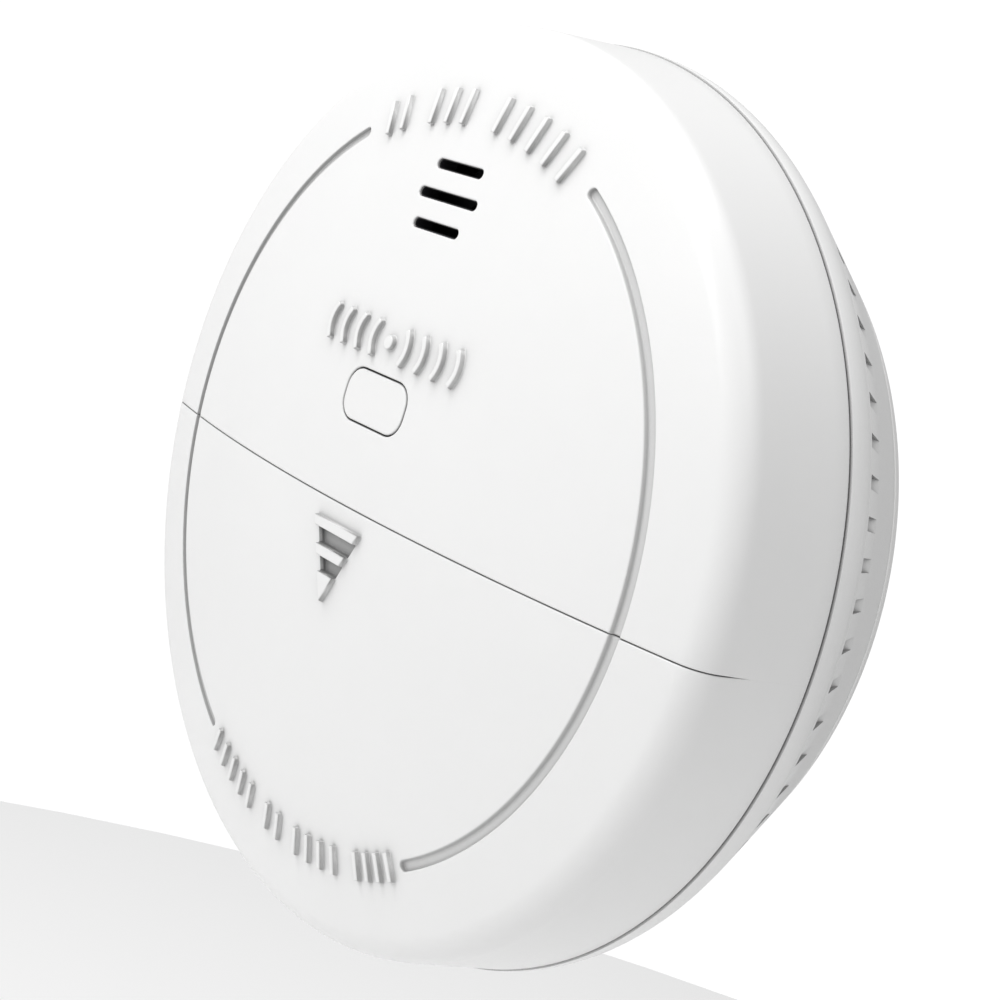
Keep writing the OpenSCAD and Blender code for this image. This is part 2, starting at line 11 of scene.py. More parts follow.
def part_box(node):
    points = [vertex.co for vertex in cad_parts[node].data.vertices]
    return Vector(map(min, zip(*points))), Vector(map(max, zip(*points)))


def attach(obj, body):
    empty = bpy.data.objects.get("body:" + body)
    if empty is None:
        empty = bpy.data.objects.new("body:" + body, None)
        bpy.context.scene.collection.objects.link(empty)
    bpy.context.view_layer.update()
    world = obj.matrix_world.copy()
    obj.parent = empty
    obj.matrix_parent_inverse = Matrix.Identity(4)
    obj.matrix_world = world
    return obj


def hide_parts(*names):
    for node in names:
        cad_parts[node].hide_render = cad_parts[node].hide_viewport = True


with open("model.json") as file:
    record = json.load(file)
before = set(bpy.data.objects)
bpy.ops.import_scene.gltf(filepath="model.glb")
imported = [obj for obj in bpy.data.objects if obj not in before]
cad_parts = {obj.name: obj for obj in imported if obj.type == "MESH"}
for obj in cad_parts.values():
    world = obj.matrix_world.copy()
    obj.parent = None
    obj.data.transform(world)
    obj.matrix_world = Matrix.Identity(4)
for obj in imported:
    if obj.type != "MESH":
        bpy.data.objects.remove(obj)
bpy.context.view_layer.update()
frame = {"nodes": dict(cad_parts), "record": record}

# Shapes are worked out in millimetres as (x, z, h): x right, z up the wall, h in front of it.
MM = 0.001
# Points nearer to each other than this, in metres, are one point.
WELD = 3e-7


def size_of(node):
    """A CAD node's box in millimetres as (x0, z0, h0, x1, z1, h1)."""
    lo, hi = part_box(node)
    return [v / MM for v in (lo.x, lo.z, -hi.y, hi.x, hi.z, -lo.y)]


COVER = size_of("front_cover")
HOUSING = size_of("back_housing")
BUTTON = size_of("test_button")
BASE = size_of("mounting_base")
DOOR = size_of("battery_door")

# domed face, as in the CAD model
FALL = 0.00225
DRAFT = 0.08
WALL = 2.0
EDGE_R = 55.8
SEAM_GAP = 0.2
COVER_H = COVER[2]
SEAM_R = COVER[3] + DRAFT * SEAM_GAP / 2
SEAM_H = COVER_H - SEAM_GAP / 2
RIM_H = SEAM_H - SEAM_GAP / 2 + 0.05
FACE_H = 44.6
PATCH_R = 54.0
INNER_R = 52.0
SPLIT = (COVER[1] + DOOR[4]) / 2
HALF_GAP = (COVER[1] - DOOR[4]) / 2 - 0.015
TIGHT_GAP = 0.001
RELIEF = 0.7
GROOVE_R = 47.5
GROOVE_W = 1.6
# circle of the screws between cover and housing
SCREW_RING = 45.5

# rounding of an edge: distance from the edge, and how far the surface has dropped there
EDGE_ROUND = [(0.0, -0.17), (0.03, -0.08), (0.1, -0.02), (0.25, 0.0)]
RAISED = [(-0.18, RELIEF), (-0.09, RELIEF - 0.04), (-0.03, RELIEF - 0.13), (0.02, 0.1),
          (0.08, 0.03), (0.18, 0.0)]
SUNK = [(-0.42, -0.6), (-0.3, -0.57), (-0.2, -0.45), (-0.12, -0.12), (-0.04, -0.03), (0.08, 0.0)]
POCKET = [(-0.2, -0.8), (-0.1, -0.76), (-0.04, -0.6), (0.02, 0.0)]


# ---------------------------------------------------------------- outlines

def dome(r):
    return FACE_H - FALL * r * r


def slot_outline(cx, cz, length, width, n=10):
    """A straight slot with round ends; length is between the end centres."""
    out = []
    for end, start in ((1, -90), (-1, 90)):
        for i in range(n + 1):
            a = math.radians(start + 180 * i / n)
            out.append((cx + end * length / 2 + width / 2 * math.cos(a),
                        cz + width / 2 * math.sin(a)))
    return out


def rounded_outline(cx, cz, w, l, r, n=7):
    out = []
    for k, (sx, sz) in enumerate(((1, 1), (-1, 1), (-1, -1), (1, -1))):
        for i in range(n + 1):
            a = math.radians(90 * k + 90 * i / n)
            out.append((cx + sx * (w / 2 - r) + r * math.cos(a),
                        cz + sz * (l / 2 - r) + r * math.sin(a)))
    return out


def arc_outline(r, a0, a1, width, n=90, cap=8):
    """A band along an arc about the middle of the face, with round ends."""
    out = [(r + width / 2, a0 + (a1 - a0) * i / n) for i in range(n + 1)]
    pts = [(q * math.cos(math.radians(a)), q * math.sin(math.radians(a))) for q, a in out]
    for i in range(1, cap):
        t = math.radians(a1 + 180 * i / cap)
        c = math.radians(a1)
        pts.append((r * math.cos(c) + width / 2 * math.cos(t),
                    r * math.sin(c) + width / 2 * math.sin(t)))
    for i in range(n, -1, -1):
        a = math.radians(a0 + (a1 - a0) * i / n)
        pts.append(((r - width / 2) * math.cos(a), (r - width / 2) * math.sin(a)))
    for i in range(1, cap):
        t = math.radians(a0 + 180 + 180 * i / cap)
        c = math.radians(a0)
        pts.append((r * math.cos(c) + width / 2 * math.cos(t),
                    r * math.sin(c) + width / 2 * math.sin(t)))
    return pts


def stroke_outline(path, width):
    """The outline of a pen stroke with square ends along a path."""
    p = np.array(path, float)
    d = np.diff(p, axis=0)
    d /= np.linalg.norm(d, axis=1)[:, None]
    n = np.stack([-d[:, 1], d[:, 0]], 1)
    turns = [(a + b) / (1 + a @ b) for a, b in zip(n, n[1:])]
    m = np.array([n[0], *turns, n[-1]])
    p[0] -= d[0] * width / 2
    p[-1] += d[-1] * width / 2
    return [tuple(q) for q in np.vstack([p - m * width / 2, (p + m * width / 2)[::-1]])]


def offset(outline, distance):
    """The outline moved outwards, with mitred corners. It runs anticlockwise."""
    p = np.array(outline, float)
    a = p - np.roll(p, 1, 0)
    b = np.roll(p, -1, 0) - p
    na = np.stack([a[:, 1], -a[:, 0]], 1) / np.linalg.norm(a, axis=1)[:, None]
    nb = np.stack([b[:, 1], -b[:, 0]], 1) / np.linalg.norm(b, axis=1)[:, None]
    m = (na + nb) / np.maximum(1 + (na * nb).sum(1), 0.3)[:, None]
    return p + distance * m


def distance_to(points, outline):
    """Signed distance of points to an outline, negative inside."""
    p = np.asarray(points, float)
    a = np.asarray(outline, float)
    b = np.roll(a, -1, 0)
    ab = b - a
    ap = p[:, None] - a[None]
    t = np.clip((ap * ab).sum(2) / (ab * ab).sum(1), 0, 1)
    near = np.linalg.norm(ap - t[..., None] * ab, axis=2).min(1)
    cross = (a[None, :, 1] > p[:, None, 1]) != (b[None, :, 1] > p[:, None, 1])
    dy = np.where(np.abs(ab[:, 1]) < 1e-12, 1e-12, ab[:, 1])
    at = a[:, 0] + (p[:, None, 1] - a[:, 1]) / dy * ab[:, 0]
    inside = (cross & (p[:, None, 0] < at)).sum(1) % 2 == 1
    return np.where(inside, -near, near)


def turned(path, angle, radius):
    """A path drawn upright about the origin, put on a circle and turned with it."""
    a = math.radians(angle - 90)
    c, s = math.cos(a), math.sin(a)
    return [(x * c - (z + radius) * s, x * s + (z + radius) * c) for x, z in path]


# ---------------------------------------------------------------- marks on the face

STROKE = 0.8


def spread(n, a0, a1):
    return [a0 + (a1 - a0) * i / (n - 1) for i in range(n)]


def top_marks():
    """Three groups of plain upright bars along the top of the ring."""
    groups = ((2, 113, 109.3), (3, 101.8, 93.6), (5, 85, 66.6))
    return [stroke_outline(turned([(0, -1.9), (0, 1.9)], a, GROOVE_R), STROKE)
            for n, a0, a1 in groups for a in spread(n, a0, a1)]


def low_marks():
    """Four groups of shorter bars along the bottom."""
    groups = ((5, 244, 257.5), (2, 263.5, 267), (4, 272.5, 283), (4, 289, 297))
    return [stroke_outline(turned([(0, -1.4), (0, 1.4)], a, GROOVE_R), STROKE)
            for n, a0, a1 in groups for a in spread(n, a0, a1)]


def sound_mark():
    """A dot between pairs of sound arcs, above the button."""
    z = 17.3
    out = [[(0.9 * math.cos(a), z + 0.9 * math.sin(a))
            for a in np.linspace(0, 2 * math.pi, 20, endpoint=False)]]
    for s in (1, -1):
        for i in range(1, 5):
            arc = [(s * (3.4 * i - 3.2 + 3.6 * math.cos(a)), z + s * 3.6 * math.sin(a))
                   for a in np.radians(np.linspace(-32, 32, 9))]
            out.append(stroke_outline(arc, STROKE))
    return out


def door_arrow():
    """A downward arrow head in three bars, with a shallow pocket between each two."""
    top, tip, half = -6.2, -16.2, 5.0

    def at(z):
        return half * (z - tip) / (top - tip)

    bars = [[(-at(z0), z0), (-at(z1), z1), (at(z1), z1), (at(z0), z0)]
            for z0, z1 in ((top, -7.5), (-9.5, -10.85))]
    bars.append([(-at(-12.7), -12.7), (0, tip), (at(-12.7), -12.7)])
    pockets = [[(-at(z0), z0), (-at(z1), z1), (at(z1), z1), (at(z0), z0)]
               for z0, z1 in ((-7.5, -9.5), (-10.85, -12.7))]
    return bars, pockets


# ---------------------------------------------------------------- mesh helpers

def to_world(x, z, h):
    return Vector((x * MM, -h * MM, z * MM))


def revolved(profile, angles, cx=0.0, cz=0.0):
    """Rows of points: a profile of (r, h) turned about an axis through (cx, cz)."""
    return [[(cx + r * math.cos(a), cz + r * math.sin(a), h) for a in angles] for r, h in profile]


def triangles(loops, lines=(), seeds=()):
    """Constrained triangulation of closed loops and open lines, with extra points."""
    pts, edges = [], []
    for loop in loops:
        first = len(pts)
        pts += [tuple(p) for p in loop]
        edges += [(first + i, first + (i + 1) % len(loop)) for i in range(len(loop))]
    for line in lines:
        first = len(pts)
        pts += [tuple(p) for p in line]
        edges += [(first + i, first + i + 1) for i in range(len(line) - 1)]
    pts += [tuple(p) for p in seeds]
    out = delaunay_2d_cdt([Vector(p) for p in pts], edges, [], 0, 1e-5)
    return np.array([tuple(v) for v in out[0]]), [tuple(f) for f in out[2]]


class Shape:
    """A mesh under construction; points are given in millimetres."""

    def __init__(self):
        self.bm = bmesh.new()
        self.smooth = self.bm.faces.layers.int.new("analytic")

    def points(self, pts):
        return [self.bm.verts.new(to_world(*p)) for p in pts]

    def face(self, verts, tag=0):
        if len(set(verts)) < 3:
            return None
        f = self.bm.faces.get(verts)
        if f is None:
            f = self.bm.faces.new(verts)
        f[self.smooth] = tag
        return f

    def grid(self, rows, closed_rows=False, closed_cols=False, skip=()):
        """Faces between rows of equally many points."""
        vs = [self.points(r) for r in rows]
        n, m = len(vs), len(vs[0])
        for i in range(n if closed_rows else n - 1):
            for j in range(m if closed_cols else m - 1):
                if (i, j) not in skip:
                    self.face([vs[i][j], vs[(i + 1) % n][j], vs[(i + 1) % n][(j + 1) % m],
                               vs[i][(j + 1) % m]])
        return vs

    def fill(self, pts, faces, height, tag=0):
        vs = self.points([(x, z, h) for (x, z), h in zip(pts, height)])
        for f in faces:
            self.face([vs[i] for i in f], tag)

    def slab(self, outline, holes, h0, h1, swap=False):
        """A flat plate with holes. swap puts its thickness along z instead of h."""
        pts, faces = triangles([outline] + list(holes))
        keep = []
        for f in faces:
            c = np.mean([pts[i] for i in f], axis=0)[None]
            if distance_to(c, outline)[0] < 0 and all(distance_to(c, k)[0] > 0 for k in holes):
                keep.append(f)

        def put(a, b, w):
            return (a, w, b) if swap else (a, b, w)

        for w in (h0, h1):
            vs = self.points([put(a, b, w) for a, b in pts])
            for f in keep:
                self.face([vs[i] for i in f])
        for loop in [outline] + list(holes):
            self.grid([[put(a, b, w) for a, b in loop] for w in (h0, h1)], closed_cols=True)

    def ring(self, profile, n, cx, cz):
        """A closed profile of (r, h) turned about an axis through (cx, cz)."""
        angles = np.linspace(0, 2 * math.pi, n, endpoint=False)
        self.grid(revolved(profile, angles, cx, cz), closed_rows=True, closed_cols=True)

    def rod(self, r, h0, h1, cz):
        """A round rod with softened ends, straight above or below the middle."""
        e = min(0.15, r * 0.4, (h1 - h0) * 0.4)
        circle = [(r * math.cos(a), cz + r * math.sin(a))
                  for a in np.linspace(0, 2 * math.pi, 32, endpoint=False)]
        small = offset(circle, -e)
        rows = [[(x, z, h) for x, z in c]
                for c, h in ((small, h0), (circle, h0 + e), (circle, h1 - e), (small, h1))]
        vs = self.grid(rows, closed_cols=True)
        self.face(vs[0])
        self.face(vs[-1])

    def block(self, x0, x1, z0, z1, h0, h1, edge):
        """A box with softened edges along h and at both ends."""
        e = min(edge, 0.3 * min(abs(x1 - x0), abs(z1 - z0), abs(h1 - h0)))
        outer = rounded_outline((x0 + x1) / 2, (z0 + z1) / 2, abs(x1 - x0), abs(z1 - z0), e, 2)
        inner = offset(outer, -e * 0.7)
        rows = [[(x, z, h) for x, z in c]
                for c, h in ((inner, h0), (outer, h0 + e), (outer, h1 - e), (inner, h1))]
        vs = self.grid(rows, closed_cols=True)
        self.face(vs[0])
        self.face(vs[-1])

    def arc_block(self, r0, r1, h0, h1, a0, a1, n=10):
        """A block bent round the middle."""
        section = [(r0, h0), (r1, h0), (r1, h1), (r0, h1)]
        rows = []
        for a in np.radians(np.linspace(a0, a1, n)):
            rows.append([(r * math.cos(a), r * math.sin(a), h) for r, h in section])
        vs = self.grid(rows, closed_cols=True)
        self.face(vs[0])
        self.face(vs[-1])

    def plate(self, radius, h, angles, holes):
        """A flat disc with holes, its edge cut at the given angles."""
        circle = [(radius * math.cos(a), radius * math.sin(a)) for a in angles]
        pts, faces = triangles([circle] + holes)
        centre = np.array([[pts[i] for i in f] for f in faces]).mean(1)
        keep = np.linalg.norm(centre, axis=1) < radius
        for o in holes:
            keep &= distance_to(centre, o) > 0
        self.fill(pts, [f for f, k in zip(faces, keep) if k], [h] * len(pts))

    def hole_walls(self, holes, h0, h1):
        for o in holes:
            self.grid([[(x, z, h) for x, z in o] for h in (h0, h1)], closed_cols=True)

    def close(self):
        """Joins the points that meet and fills any opening that is left."""
        bmesh.ops.remove_doubles(self.bm, verts=self.bm.verts, dist=WELD)
        loose = [e for e in self.bm.edges if not e.link_faces]
        bmesh.ops.delete(self.bm, geom=loose, context="EDGES")
        bmesh.ops.holes_fill(self.bm, edges=self.bm.edges, sides=0)

    def build(self, name, body, nodes, material, angle=35, normals=None):
        bmesh.ops.remove_doubles(self.bm, verts=self.bm.verts, dist=WELD)
        bmesh.ops.recalc_face_normals(self.bm, faces=self.bm.faces)
        mesh = bpy.data.meshes.new(name)
        self.bm.to_mesh(mesh)
        self.bm.free()
        mesh.shade_smooth()
        mesh.set_sharp_from_angle(angle=math.radians(angle))
        if normals:
            set_normals(mesh, normals)
        obj = bpy.data.objects.new(name, mesh)
        bpy.context.collection.objects.link(obj)
        mesh.materials.append(material)
        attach(obj, body)
        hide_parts(*nodes)
        return obj


def set_normals(mesh, height):
    """Gives the faces tagged as analytic the normals of the height function."""
    n = len(mesh.loops)
    vi = np.zeros(n, int)
    mesh.loops.foreach_get("vertex_index", vi)
    tags = np.zeros(len(mesh.polygons), int)
    mesh.attributes["analytic"].data.foreach_get("value", tags)
    starts = np.zeros(len(mesh.polygons), int)
    totals = np.zeros(len(mesh.polygons), int)
    mesh.polygons.foreach_get("loop_start", starts)
    mesh.polygons.foreach_get("loop_total", totals)
    tagged = np.zeros(n, bool)
    for s, t, g in zip(starts, totals, tags):
        if g:
            tagged[s:s + t] = True
    co = np.zeros(len(mesh.vertices) * 3)
    mesh.vertices.foreach_get("co", co)
    co = co.reshape(-1, 3) / MM
    used = np.unique(vi[tagged])
    at = co[used][:, [0, 2]]
    step = 0.02
    flat = height(at)[1]
    gx = (height(at + [step, 0])[0] - height(at - [step, 0])[0]) / (2 * step)
    gz = (height(at + [0, step])[0] - height(at - [0, step])[0]) / (2 * step)
    gx = np.where(flat, -2 * FALL * at[:, 0], gx)
    gz = np.where(flat, -2 * FALL * at[:, 1], gz)
    v = np.stack([-gx, -np.ones(len(at)), -gz], 1)
    v /= np.linalg.norm(v, axis=1)[:, None]
    table = np.zeros((len(mesh.vertices), 3))
    table[used] = v
    loops = np.where(tagged[:, None], table[vi], 0.0)
    mesh.normals_split_custom_set([tuple(q) for q in loops])


# ---------------------------------------------------------------- the domed shells

def step_value(d, steps):
    return np.interp(d, [s[0] for s in steps], [s[1] for s in steps])


class Face:
    """The domed face with its raised marks, grooves, holes and parting line."""

    def __init__(self):
        bars, pockets = door_arrow()
        self.raised = top_marks() + sound_mark() + low_marks() + bars
        self.sunk = [arc_outline(GROOVE_R, a - 60, a + 60, GROOVE_W) for a in (0, 180)]
        self.slots = [slot_outline(0, 36 + i * 3.85, 10.9 if i == 0 else 8.3, 1.3)
                      for i in (-1, 0, 1)]
        self.key = rounded_outline(0, 9.8, 13.3, 6.9, 2.8)
        self.holes = self.slots + [self.key]
        self.features = ([(o, RAISED) for o in self.raised] + [(o, SUNK) for o in self.sunk]
                         + [(o, POCKET) for o in pockets] + [(o, EDGE_ROUND) for o in self.holes])

    def height(self, pts):
        """Height at each point, and whether the point is on plain dome."""
        pts = np.asarray(pts, float)
        extra = np.zeros(len(pts))
        sloped = np.zeros(len(pts), bool)
        for outline, steps in self.features:
            o = np.asarray(outline)
            near = ((pts > o.min(0) - 0.6) & (pts < o.max(0) + 0.6)).all(1)
            if near.any():
                d = distance_to(pts[near], outline)
                extra[near] += step_value(d, steps)
                sloped[near] |= (d > steps[0][0] + 1e-3) & (d < steps[-1][0] - 1e-3)
        gap = np.abs(pts[:, 1] - SPLIT) - HALF_GAP
        extra += step_value(gap, EDGE_ROUND)
        sloped |= gap < EDGE_ROUND[-1][0] - 1e-3
        r = np.linalg.norm(pts, axis=1)
        return dome(r) + extra, ~sloped


FACE = Face()


def openness(h):
    """How far the parting line is open at height h: shut on the side wall, open on the face."""
    return min(max((h - 30.5) / 3.0, 0.0), 1.0)


def column_angles(r, h, side, n=124):
    """Angles of the upright columns of a shell at radius r: close together by the split."""
    edge = SPLIT + side * (TIGHT_GAP + (HALF_GAP - TIGHT_GAP) * openness(h))
    near = [math.degrees(math.asin((edge + side * b) / r)) for b, _ in EDGE_ROUND]
    end = side * 180 - near[-1]
    middle = [near[-1] + (end - near[-1]) * i / n for i in range(1, n)]
    return near + middle + [side * 180 - a for a in reversed(near)]


def shell_profile():
    """Profile from the face patch over the shoulder, round the rim and back inside."""
    def half(t, first, n):
        r0 = EDGE_R - t
        a = math.degrees(math.atan(2 * FALL * r0))
        h0 = dome(r0) - t
        low = math.atan(DRAFT)
        ra = math.radians(a)
        f = ((SEAM_R - t - r0 - DRAFT * (h0 - SEAM_H))
             / (math.sqrt(1 + DRAFT ** 2) - math.sin(ra) - DRAFT * math.cos(ra)))
        out = [(first + (r0 - first) * i / 3, dome(first + (r0 - first) * i / 3) - t)
               for i in range(4)]
        for i in range(1, n + 1):
            b = math.radians(90) - ra + (low - math.radians(90) + ra) * i / n
            out.append((r0 + f * (math.cos(b) - math.sin(ra)),
                        h0 + f * (math.sin(b) - math.cos(ra))))
        return out

    def side(t, h):
        return SEAM_R - t - DRAFT * (h - SEAM_H)

    outer = half(0, PATCH_R, 18)
    top = outer[-1][1]
    outer += [(side(0, h), h) for h in np.linspace(top, COVER_H + 0.3, 7)[1:]]
    rim = [(side(0.04, COVER_H) - 0.02, COVER_H + 0.1), (side(0.2, COVER_H), COVER_H),
           (side(WALL - 0.2, COVER_H), COVER_H), (side(WALL, COVER_H), COVER_H + 0.2)]
    inner = half(WALL, INNER_R, 8)
    low = [(side(WALL, h), h) for h in np.linspace(COVER_H + 2, inner[-1][1], 4)[:-1]]
    return outer, rim, low + inner[::-1]


def half_shell(shape, side):
    """Half of the domed shell: side 1 is the cover, side -1 the door."""
    outer, rim, inner = shell_profile()
    profile = outer + rim + inner
    rows = []
    for i, (r, h) in enumerate(profile):
        angles = column_angles(r, h, side)
        if 0 < i < len(outer):
            (ra, ha), (rb, hb) = profile[i - 1], profile[i + 1]
            t = np.array([rb - ra, hb - ha]) / math.hypot(rb - ra, hb - ha)
            normal = (-t[1], t[0])
        else:
            normal = (0.0, 1.0)
        drop = [d * openness(h) if i < len(outer) else 0.0 for _, d in EDGE_ROUND]
        drops = drop + [0.0] * (len(angles) - 8) + drop[::-1]
        row = []
        for a, d in zip(angles, drops):
            q = r + normal[0] * d
            row.append((q * math.cos(math.radians(a)), q * math.sin(math.radians(a)),
                        h + normal[1] * d))
        rows.append(row)
    shape.grid(rows)
    face_patch(shape, side, [(p[0], p[1]) for p in rows[0]], True)
    face_patch(shape, side, [(p[0], p[1]) for p in rows[-1]], False)
    if side > 0:
        for hole in FACE.holes:
            top = FACE.height(hole)[0]
            low = dome(np.linalg.norm(hole, axis=1)) - WALL
            shape.grid([[(x, z, h) for (x, z), h in zip(hole, hs)] for hs in (top, low)],
                       closed_cols=True)


def face_patch(shape, side, border, outside):
    """The middle of the shell: outside with its marks, inside plain."""
    (x0, z0), (x1, z1) = border[-1], border[0]
    across = [(x0 + (x1 - x0) * i / 60, z0 + (z1 - z0) * i / 60) for i in range(1, 60)]
    outline = border + across
    if side < 0:
        outline = outline[::-1]
    loops, lines = [outline], []
    if outside:
        for o, steps in FACE.features:
            if side * (np.mean(np.asarray(o)[:, 1]) - SPLIT) > 0 or o in FACE.sunk:
                loops += [offset(o, d) for d, _ in steps]
        for b, _ in EDGE_ROUND[1:]:
            z = SPLIT + side * (HALF_GAP + b)
            x = math.sqrt(PATCH_R ** 2 - z * z)
            lines.append([(-x + 2 * x * i / 60, z) for i in range(61)])
    elif side > 0:
        loops += [np.array(o) for o in FACE.holes]
    step = 3.0
    r = max(math.hypot(*p) for p in border)
    seeds = [(i * step + (j % 2) * step / 2, j * step * 0.866)
             for j in range(-22, 23) for i in range(-20, 21)]
    seeds = np.array([p for p in seeds if math.hypot(*p) < r - 1.2
                      and side * (p[1] - SPLIT) > 1.2])
    if outside:
        seeds = seeds[FACE.height(seeds)[1]]
    pts, faces = triangles(loops, lines, seeds)
    centre = np.array([[pts[i] for i in f] for f in faces]).mean(1)
    keep = distance_to(centre, outline) < 0
    if side > 0:
        for o in FACE.holes:
            keep &= distance_to(centre, o) > 0
    if outside:
        height = FACE.height(pts)[0]
    else:
        height = dome(np.linalg.norm(pts, axis=1)) - WALL
    shape.fill(pts, [f for f, k in zip(faces, keep) if k], height, 1 if outside else 0)


def inside_dome(x, z):
    """Height inside the wall of the dome above a point, for posts that run up into it."""
    return dome(math.hypot(x, z)) - 1.0


def front_cover(material):
    s = Shape()
    half_shell(s, 1)
    s.close()
    edge = SPLIT + HALF_GAP
    half = 56.4
    line = [(x, min(inside_dome(x, 3), 34.6) if abs(x) > 54 else inside_dome(x, 3))
            for x in np.linspace(half, -half, 41)]
    shelf = [(-half - 1.2, COVER_H), (half + 1.2, COVER_H), (half + 0.6, 31.0)] + line \
        + [(-half - 0.6, 31.0)]
    notch = rounded_outline(-38, 27.5, 6, 5, 0.4, 2)
    s.slab(shelf, [notch], edge + 0.02, edge + 1.6, swap=True)
    for sx in (-1, 1):
        x = sx * SCREW_RING * math.cos(math.radians(45))
        z = SCREW_RING * math.sin(math.radians(45))
        s.ring([(1.4, COVER_H), (3.3, COVER_H), (3.4, COVER_H + 0.2), (3.4, 35.5), (1.4, 35.5)],
               40, x, z)
    for x, z in ((-18, 5), (18, 5), (19, 39)):
        top = inside_dome(x, z) - 0.6
        s.ring([(1.1, 25.6), (2.4, 25.6), (2.6, 25.9), (2.6, top), (1.1, top)], 32, x, z)
    s.ring([(15.2, 34), (16.4, 34), (16.4, 36.6), (15.2, 36.6)], 64, 0, 33.5)
    collar = rounded_outline(0, 9.8, 16.9, 10.5, 3.5)
    s.slab(collar, [FACE.key], 39.6, 41.9)
    return s.build("front_cover_shell", "detector", ["front_cover"], material,
                   normals=FACE.height)


def slot_painted_shade(material):
    """Painted shade: a black frame that lines the three sound slots behind the face, so that the
    slot walls read as dark as shade.
    """
    s = Shape()
    for o in FACE.slots:
        inner = offset(o, -0.12)
        top = FACE.height(o)[0] - 0.25
        low = top - 2.6
        rows = [[(x, z, h) for (x, z), h in zip(p, q)]
                for p, q in ((offset(o, -0.01), top), (inner, top), (inner, low),
                             (offset(o, -0.01), low))]
        s.grid(rows, closed_rows=True, closed_cols=True)
    return s.build("sound_slot_painted_shade", "detector", [], material)


def battery_door(material):
    s = Shape()
    half_shell(s, -1)
    s.close()
    rail = 27.0
    for sx in (-1, 1):
        leg = [(-35, rail - 2.2), (-7, rail - 2.2)]
        top = [(z, inside_dome(36, z)) for z in np.linspace(-7, -35, 12)]
        x0, x1 = sorted((sx * 35.2, sx * 36.8))
        leg_rows = [[(x, z, h) for z, h in leg + top] for x in (x0, x1)]
        vs = s.grid(leg_rows, closed_cols=True)
        s.face(vs[0])
        s.face(vs[1])
        x0, x1 = sorted((sx * 32.2, sx * 36.0))
        s.block(x0, x1, -35, -7, rail - 2.2, rail - 0.3, 0.3)
    return s.build("battery_door_shell", "door", ["battery_door"], material,
                   normals=FACE.height)


def test_button(material):
    """The flush key, with its flange and stem behind."""
    s = Shape()
    w, l, r = 12.9, 6.5, 2.6
    cz = (BUTTON[1] + BUTTON[4]) / 2
    outline = rounded_outline(0, cz, w, l, r)
    loops = [offset(outline, -d) for d, _ in EDGE_ROUND]
    seeds = [(x * 2.0, cz + z * 1.6) for x in range(-2, 3) for z in (-1, 0, 1)]
    pts, faces = triangles(loops, (), seeds)
    centre = np.array([[pts[i] for i in f] for f in faces]).mean(1)
    keep = distance_to(centre, outline) < 0
    top = step_value(-distance_to(pts, outline), EDGE_ROUND)
    height = dome(np.linalg.norm(pts, axis=1)) + top
    s.fill(pts, [f for f, k in zip(faces, keep) if k], height, 1)
    low = 39.0
    side_top = dome(np.linalg.norm(outline, axis=1)) + EDGE_ROUND[0][1]
    s.grid([[(x, z, h) for (x, z), h in zip(outline, side_top)],
            [(x, z, low) for x, z in outline]], closed_cols=True)
    s.close()
    flange = rounded_outline(0, cz, w + 2.4, l + 2.4, 3.2)
    s.slab(flange, [], 38.25, 39.45)
    s.rod(2.2, BUTTON[2], 38.6, cz)

    def key_height(p):
        d = -distance_to(p, outline)
        return dome(np.linalg.norm(p, axis=1)) + step_value(d, EDGE_ROUND), d > 0.249

    return s.build("test_button_key", "button", ["test_button"], material,
                   normals=key_height)


# ---------------------------------------------------------------- rear parts

VENTS = 80
VENT_PHASE = 0.9
VENT_HALF = math.degrees(0.8 / 57.0)
SLIT_HALF = math.degrees(0.5 / 57.0)
VENT_LOW = 12.5
VENT_DEPTH = 1.5
VENT_WALL_R = 54.0
CONE_TOP = 16.9
CONE_R = 49.28
CONE_SLOPE = 0.5913
BAND_ARC = 6.03
BAND_H = 20.1
# lip that the cover fits over
LIP_R = 57.0
LIP_IN = 55.6
LIP_H = 23.0
# wall plate and its twist-lock hooks: a neck, and a catch that reaches outwards
PLATE = 2.4
HOOK_ANGLES = (90, 210, 330)
NECK_IN, NECK_OUT = 36.5, 38.3
CATCH_IN, CATCH_OUT = 37.8, 40.4
CATCH_LOW = 4.9


def cone(h):
    return CONE_R + CONE_SLOPE * h


def arc_points(cx, cy, r, a0, a1, n):
    return [(cx + r * math.cos(math.radians(a)), cy + r * math.sin(math.radians(a)))
            for a in np.linspace(a0, a1, n)]


def vent_angles():
    """Column angles round the housing: both sides of every vent, and the rib between."""
    pitch = 360 / VENTS
    gap = pitch - 2 * VENT_HALF
    out = []
    for i in range(VENTS):
        a = VENT_PHASE + i * pitch
        out += [a - VENT_HALF, a + VENT_HALF, a + VENT_HALF + 0.12] \
            + [a + VENT_HALF + gap * k / 3 for k in (1, 2)] + [a + pitch - VENT_HALF - 0.12]
    return np.radians(out)


